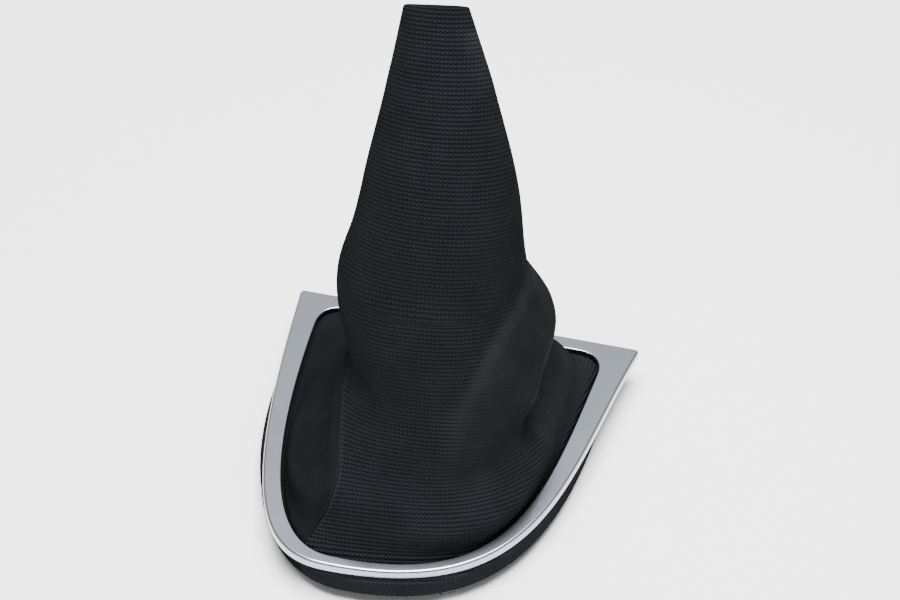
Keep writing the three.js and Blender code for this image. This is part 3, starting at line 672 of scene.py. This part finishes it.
class Nodes:
    """A material and short ways to add nodes to it."""

    def __init__(self, name):
        self.material = bpy.data.materials.new(name)
        self.material.use_nodes = True
        self.tree = self.material.node_tree
        self.shader = self.tree.nodes["Principled BSDF"]

    def add(self, kind, inputs=(), **settings):
        node = self.tree.nodes.new("ShaderNode" + kind)
        for key, value in settings.items():
            setattr(node, key, value)
        for key, value in dict(inputs).items():
            self.feed(node.inputs[key], value)
        return node

    def feed(self, socket, value):
        if isinstance(value, bpy.types.NodeSocket):
            self.tree.links.new(value, socket)
        else:
            socket.default_value = value

    def math(self, operation, *values):
        return self.add("Math", enumerate(values), operation=operation).outputs[0]

    def vector(self, operation, *values):
        node = self.add("VectorMath", enumerate(values), operation=operation)
        return node.outputs["Value" if operation == "LENGTH" else "Vector"]

    def scaled(self, vector, factor):
        return self.add("VectorMath", {0: vector, "Scale": factor}, operation="SCALE").outputs["Vector"]

    def attribute(self, name):
        return self.add("Attribute", attribute_name=name).outputs["Vector"]

    def noise(self, vector, scale, detail=2.0):
        inputs = {"Vector": vector, "Scale": scale, "Detail": detail, "Roughness": 0.6}
        return self.add("TexNoise", inputs).outputs[0]

    def span(self, value, low, high, to_low, to_high):
        inputs = {0: value, 1: low, 2: high, 3: to_low, 4: to_high}
        return self.add("MapRange", inputs, interpolation_type="SMOOTHSTEP").outputs[0]

    def vary(self, noise, low, high):
        return self.span(noise, *NOISE_RANGE, low, high)

    def blend(self, factor, a, b):
        return self.add("Mix", {0: factor, 6: a, 7: b}, data_type="RGBA").outputs[2]

    def bump(self, *heights):
        """Relief from (pattern, height in millimetres) pairs."""
        parts = [self.math("MULTIPLY", pattern, height) for pattern, height in heights]
        total = parts[0] if len(parts) == 1 else self.math("ADD", *parts)
        self.set(Normal=self.add("Bump", {"Height": total, "Distance": MM, "Strength": 1.0}).outputs[0])

    def set(self, **values):
        for key, value in values.items():
            self.feed(self.shader.inputs[key.replace("_", " ")], value)


PIP_PITCH, PIP_RADIUS, PIP_TOP = 1.8, 0.5, 0.08
PIP_RELIEF, STRETCHED_RELIEF, STRETCHED_WIDTH = 0.9, 0.06, 0.35


def embossed_leatherette():
    """Pips in rows on the flat pattern. Where the leatherette is stretched they are long and almost flat."""
    n = Nodes("embossed_leatherette")
    cut = n.attribute("cut")
    look = n.add("SeparateXYZ", {0: n.attribute("look")})
    # crest also takes in the painted highlight along the seam
    crest, stretch = n.math("MAXIMUM", look.outputs[0], look.outputs[2]), look.outputs[1]
    cell = n.vector("FRACTION", n.vector("MULTIPLY", cut, (1 / PIP_PITCH, 1 / PIP_PITCH, 0)))
    centred = n.vector("SUBTRACT", cell, (0.5, 0.5, 0))
    squeeze = n.add("CombineXYZ", {0: n.span(stretch, 0, 1, 1, STRETCHED_WIDTH), 1: 1.0}).outputs[0]
    distance = n.vector("LENGTH", n.vector("MULTIPLY", centred, squeeze))
    pip = n.span(distance, PIP_RADIUS, PIP_TOP, 0, 1)
    grain, patch = n.noise(cut, 3.2, 3.0), n.noise(cut, 0.05)
    n.bump((n.math("MULTIPLY", pip, n.span(stretch, 0, 1, 1, STRETCHED_RELIEF)), PIP_RELIEF), (grain, 0.04))
    tone = n.math("MULTIPLY", n.vary(patch, 0.9, 1.1), n.vary(grain, 0.9, 1.1))
    # Painted highlight: the colour is lighter where crest is high, on folds, below the right edge, on the
    # hem's wall and along the seam
    tone = n.math("MULTIPLY", tone, n.span(crest, 0, 1, 1, 1.7))
    # The pip tops are painted lighter than the ground between them, a painted highlight on each pip; where the
    # leatherette is stretched this painted highlight is weaker
    relaxed_colour = n.blend(pip, (0.0088, 0.0091, 0.0108, 1), (0.0136, 0.0140, 0.0166, 1))
    stretched_colour = n.blend(pip, (0.0088, 0.0090, 0.0102, 1), (0.0106, 0.0108, 0.0121, 1))
    colour = n.scaled(n.blend(stretch, relaxed_colour, stretched_colour), tone)
    n.set(Base_Color=colour, Roughness=n.span(pip, 0, 1, 0.62, 0.5), Specular_IOR_Level=0.0)
    return n.material


def plain_leatherette():
    """Fine cells and grain, with a painted highlight along the turned seam."""
    n = Nodes("plain_leatherette")
    cut = n.attribute("cut")
    seam_highlight = n.add("SeparateXYZ", {0: n.attribute("look")}).outputs[2]
    cells = n.add("TexVoronoi", {"Vector": cut, "Scale": 1.1}, feature="DISTANCE_TO_EDGE").outputs[0]
    grain, patch = n.noise(cut, 2.4, 3.0), n.noise(cut, 0.04)
    n.bump((n.span(cells, 0, 0.25, 0, 1), 0.05), (grain, 0.07))
    tone = n.math("MULTIPLY", n.vary(patch, 0.88, 1.12), n.vary(grain, 0.9, 1.1))
    # Painted highlight along the seam
    tone = n.math("MULTIPLY", tone, n.span(seam_highlight, 0, 1, 1, 2.0))
    colour = n.scaled((0.0068, 0.0070, 0.0080), tone)
    n.set(Base_Color=colour, Roughness=n.vary(grain, 0.5, 0.62), Specular_IOR_Level=0.0)
    return n.material


def satin_silver():
    n = Nodes("satin_silver")
    place = n.add("TexCoord").outputs["Object"]
    flake, peel, smear = n.noise(place, 2600), n.noise(place, 260), n.noise(place, 25)
    colour = n.blend(n.vary(flake, 0, 1), (0.32, 0.35, 0.40, 1), (0.38, 0.415, 0.465, 1))
    n.bump((peel, 0.03), (flake, 0.004))
    n.set(Base_Color=colour, Roughness=n.vary(smear, 0.215, 0.25), Metallic=1.0,
          Coat_Weight=0.15, Coat_Roughness=0.2)
    return n.material


def black_plastic():
    n = Nodes("black_plastic")
    place = n.add("TexCoord").outputs["Object"]
    pits, patch = n.noise(place, 1800, 3.0), n.noise(place, 40)
    colour = n.blend(n.vary(patch, 0, 1), (0.010, 0.010, 0.011, 1), (0.017, 0.017, 0.018, 1))
    n.bump((pits, 0.05))
    n.set(Base_Color=colour, Roughness=n.vary(pits, 0.42, 0.55))
    return n.material


# Surround: a moulded ring with its snap legs and stakes
TURN_STEPS, FACE_SHARES, WALL_LOOP = 9, np.linspace(0.08, 0.92, 9), 1
LEG_BEVEL = 0.35
STAKE_SIDES = 20
STAKE_DOME = ((0.55, 1), (0.9, 0.8), (1, 0.4), (0.92, 0))  # shares of the head's radius and height


def surround_shell():
    outer, inner = outline(RIM, SURROUND_DENSITY), outline(OPENING, SURROUND_DENSITY)
    lip = INNER_LIP / 2
    low, top, under = RIM_LOW, FACE_TOP - CROWN, FACE_TOP - SKIN
    turn = np.radians(np.linspace(0, 90, TURN_STEPS))
    profile = [(outer, low), (outer, low + WALL_LOOP)]
    profile += [(inset(outer, FILLET * (1 - math.cos(t))), top - FILLET * (1 - math.sin(t))) for t in turn]
    for share in FACE_SHARES:
        ring = inset(outer, FILLET) * (1 - share) + inset(inner, -lip) * share
        profile.append((ring, top + CROWN * math.sin(math.pi * share)))
    profile += [(inset(inner, -lip * (1 - math.sin(t))), top - lip * (1 - math.cos(t))) for t in turn]
    profile += [(inner, low), (inset(inner, -INNER_LIP), low), (inset(inner, -INNER_LIP), under),
                (inset(outer, OUTER_WALL), under), (inset(outer, OUTER_WALL), low)]
    stations = np.stack([np.column_stack([ring, np.full(len(ring), z)]) for ring, z in profile], 1)
    grid = np.arange(stations.shape[0] * stations.shape[1]).reshape(stations.shape[:2])
    after, up = np.roll(grid, -1, 0), np.roll(grid, -1, 1)
    return stations.reshape(-1, 3), np.stack([grid, after, np.roll(after, -1, 1), up], -1).reshape(-1, 4)


def stack_faces(size, levels):
    """Faces of a closed stack of rings of points, from its lowest ring up."""
    faces = [[k * size + i, k * size + (i + 1) % size, (k + 1) * size + (i + 1) % size, (k + 1) * size + i]
             for k in range(levels - 1) for i in range(size)]
    return faces + [list(range(size))[::-1], [(levels - 1) * size + i for i in range(size)]]


def block(width, depth, low, high, point, facing, offset=0.0):
    """A box with chamfered edges, as points and faces."""
    w, d, bevel = width / 2, depth / 2, LEG_BEVEL
    section = [(d, -w + bevel), (d, w - bevel), (d - bevel, w), (-d + bevel, w),
               (-d, w - bevel), (-d, -w + bevel), (-d + bevel, -w), (d - bevel, -w)]
    small = [(x * (1 - bevel / d), y * (1 - bevel / w)) for x, y in section]
    rings = [(small, low), (section, low + bevel), (section, high - bevel), (small, high)]
    cos, sin = math.cos(facing), math.sin(facing)
    points = [(point[0] + (x + offset) * cos - y * sin, point[1] + (x + offset) * sin + y * cos, z)
              for ring, z in rings for x, y in ring]
    return np.array(points), stack_faces(len(section), len(rings))


def stake(point):
    """A round stake whose melted head holds the carrier, as points and faces."""
    head_top = CARRIER_LOW - CLEARANCE
    levels = [(STAKE_HEAD * out, head_top - STAKE_HEAD_HEIGHT * down) for out, down in STAKE_DOME]
    levels += [(STAKE_RADIUS, head_top), (STAKE_RADIUS, FACE_TOP - SKIN / 2)]
    angles = np.radians(np.arange(STAKE_SIDES) * 360 / STAKE_SIDES)
    points = [(point[0] + r * math.cos(a), point[1] + r * math.sin(a), z) for r, z in levels for a in angles]
    return np.array(points), stack_faces(STAKE_SIDES, len(levels))


def surround_mesh():
    parts = [surround_shell()]
    hook_low = CARRIER_LOW - CLEARANCE - LEG_HOOK_HEIGHT
    hook_depth = LEG_HOOK + LEG_THICKNESS / 2
    for angle in LEG_ANGLES:
        place = place_at(inset(hem, LEG_SETBACK), angle)
        parts.append(block(LEG_WIDTH, LEG_THICKNESS, 0, FACE_TOP - SKIN / 2, *place))
        parts.append(block(LEG_WIDTH, hook_depth, hook_low, hook_low + LEG_HOOK_HEIGHT, *place,
                           offset=-hook_depth / 2))
    for angle in STAKE_ANGLES:
        parts.append(stake(place_at(inset(opening, -STAKE_SETBACK), angle)[0]))
    points, faces, base = [], [], 0
    for some_points, some_faces in parts:
        points.append(some_points)
        faces += [[base + i for i in face] for face in some_faces]
        base += len(some_points)
    mesh = bpy.data.meshes.new("surround_shell")
    mesh.from_pydata((np.concatenate(points) * MM).tolist(), [], faces)
    return mesh


# Pieces
PANEL_SHARP, SURROUND_SHARP = 50, 40


def add_piece(name, mesh, node, material, sharp):
    """Adds a piece that replaces a CAD node, shaded smooth but for edges sharper than an angle in degrees."""
    mesh.polygons.foreach_set("use_smooth", np.ones(len(mesh.polygons), bool))
    mesh.update()
    mesh.materials.append(material)
    mesh.set_sharp_from_angle(angle=math.radians(sharp))
    piece = bpy.data.objects.new(name, mesh)
    bpy.context.scene.collection.objects.link(piece)
    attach(piece, "root")
    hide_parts(node)
    return piece


def add_panel(name, node, material, first, last):
    outer, inner, cut, look = panel_grid(first, last)
    panel = add_piece(name, sheet_mesh(name, outer, inner, cut, look), node, material, PANEL_SHARP)


left_column, right_column = seam_column(SEAM_LEFT), seam_column(SEAM_RIGHT)
add_panel("main_sleeve_panel", "main_panel", embossed_leatherette(),
          left_column, right_column)
add_panel("side_sleeve_panel", "side_panel", plain_leatherette(),
          right_column, left_column)
add_piece("surround_shell", surround_mesh(), "surround", satin_silver(), SURROUND_SHARP)

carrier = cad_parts["carrier_ring"]
carrier.data.materials.clear()
carrier.data.materials.append(black_plastic())

# Floor and light, in metres and watts
FLOOR_REACH = 4
LIGHT_SIZE, LIGHT_TARGET = 1.0, Vector((0, 0, 0.1))
TOP_LIGHT, TOP_POWER = Vector((0.05, 0.0, 1.5)), 100
BACK_LIGHT, BACK_POWER = Vector((-0.27, 1.0, 0.95)), 2
ROOM_STRENGTH = 0.5


def add_floor():
    mesh = bpy.data.meshes.new("floor")
    corners = [(x * FLOOR_REACH, y * FLOOR_REACH, 0) for x, y in ((-1, -1), (1, -1), (1, 1), (-1, 1))]
    mesh.from_pydata(corners, [], [(0, 1, 2, 3)])
    floor = bpy.data.objects.new("floor", mesh)
    bpy.context.scene.collection.objects.link(floor)
    n = Nodes("pale_floor")
    n.set(Base_Color=(0.93, 0.93, 0.93, 1), Roughness=0.9)
    mesh.materials.append(n.material)


def add_area_light(name, place, power):
    data = bpy.data.lights.new(name, "AREA")
    data.size, data.energy = LIGHT_SIZE, power
    light = bpy.data.objects.new(name, data)
    bpy.context.scene.collection.objects.link(light)
    light.location = place
    light.rotation_mode = "QUATERNION"
    light.rotation_quaternion = (LIGHT_TARGET - place).to_track_quat("-Z", "Y")


def add_world():
    world = bpy.data.worlds.new("studio")
    world.use_nodes = True
    background = world.node_tree.nodes["Background"]
    background.inputs["Color"].default_value = (1, 1, 1, 1)
    background.inputs["Strength"].default_value = ROOM_STRENGTH
    bpy.context.scene.world = world


add_floor()
add_world()
add_area_light("top", TOP_LIGHT, TOP_POWER)
add_area_light("back", BACK_LIGHT, BACK_POWER)
